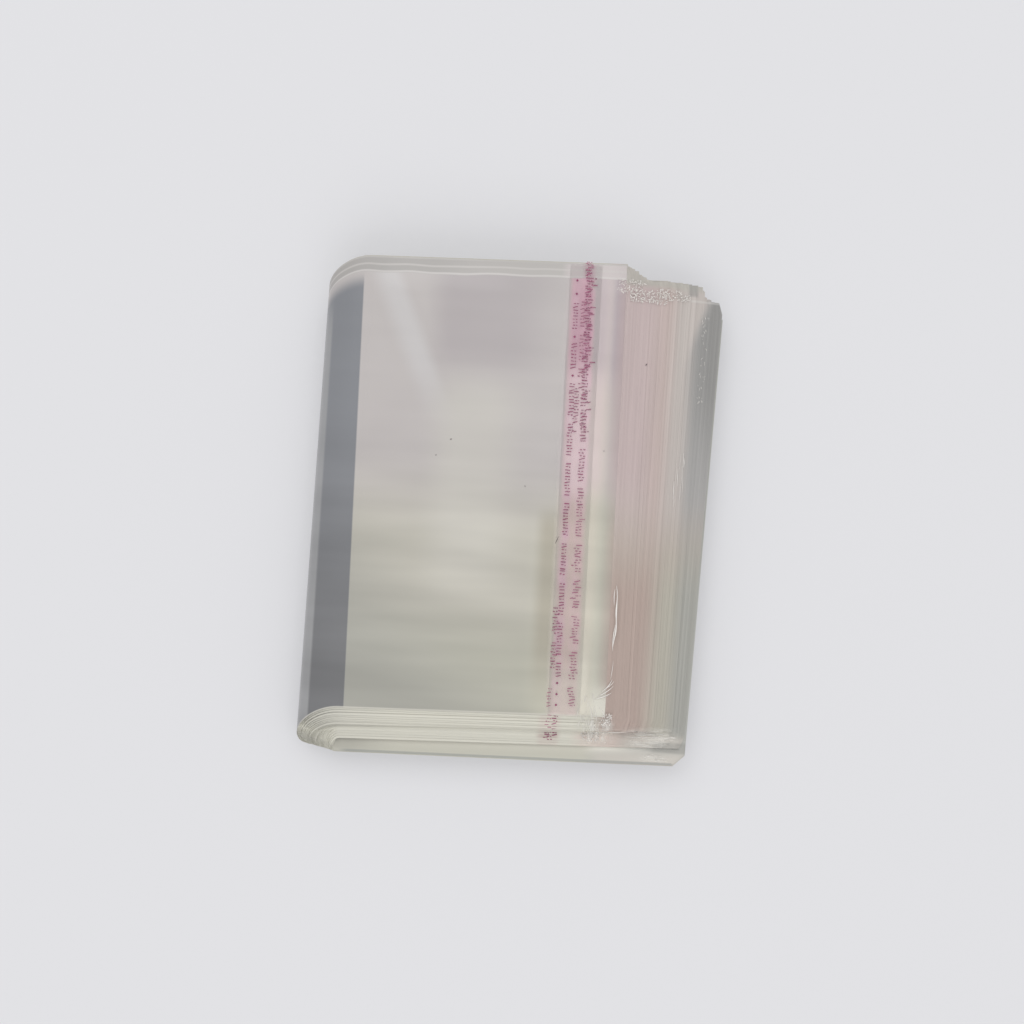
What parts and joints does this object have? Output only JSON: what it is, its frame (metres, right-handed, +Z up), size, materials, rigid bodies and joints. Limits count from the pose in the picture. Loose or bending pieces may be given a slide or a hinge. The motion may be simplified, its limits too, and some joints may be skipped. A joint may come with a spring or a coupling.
{
  "type": "folded bundle of self-seal plastic packaging bags",
  "caption": "Flat bundle of clear self-seal plastic packaging bags folded over once, with fanned edges, stepped open ends and a printed peel-off strip along the flap.",
  "frame": {"origin": "middle of the footprint, on the surface that the bundle lies on", "axes": "+Z up; Y along the fold; +X from the fold towards the open ends"},
  "size_m": [0.1038, 0.1332, 0.0171],
  "materials": {
    "film": "gloss",
    "liner": "satin"
  },
  "bodies": {
    "root": {"bag_stack": "film", "release_strip": "liner"}
  },
  "joints": []
}
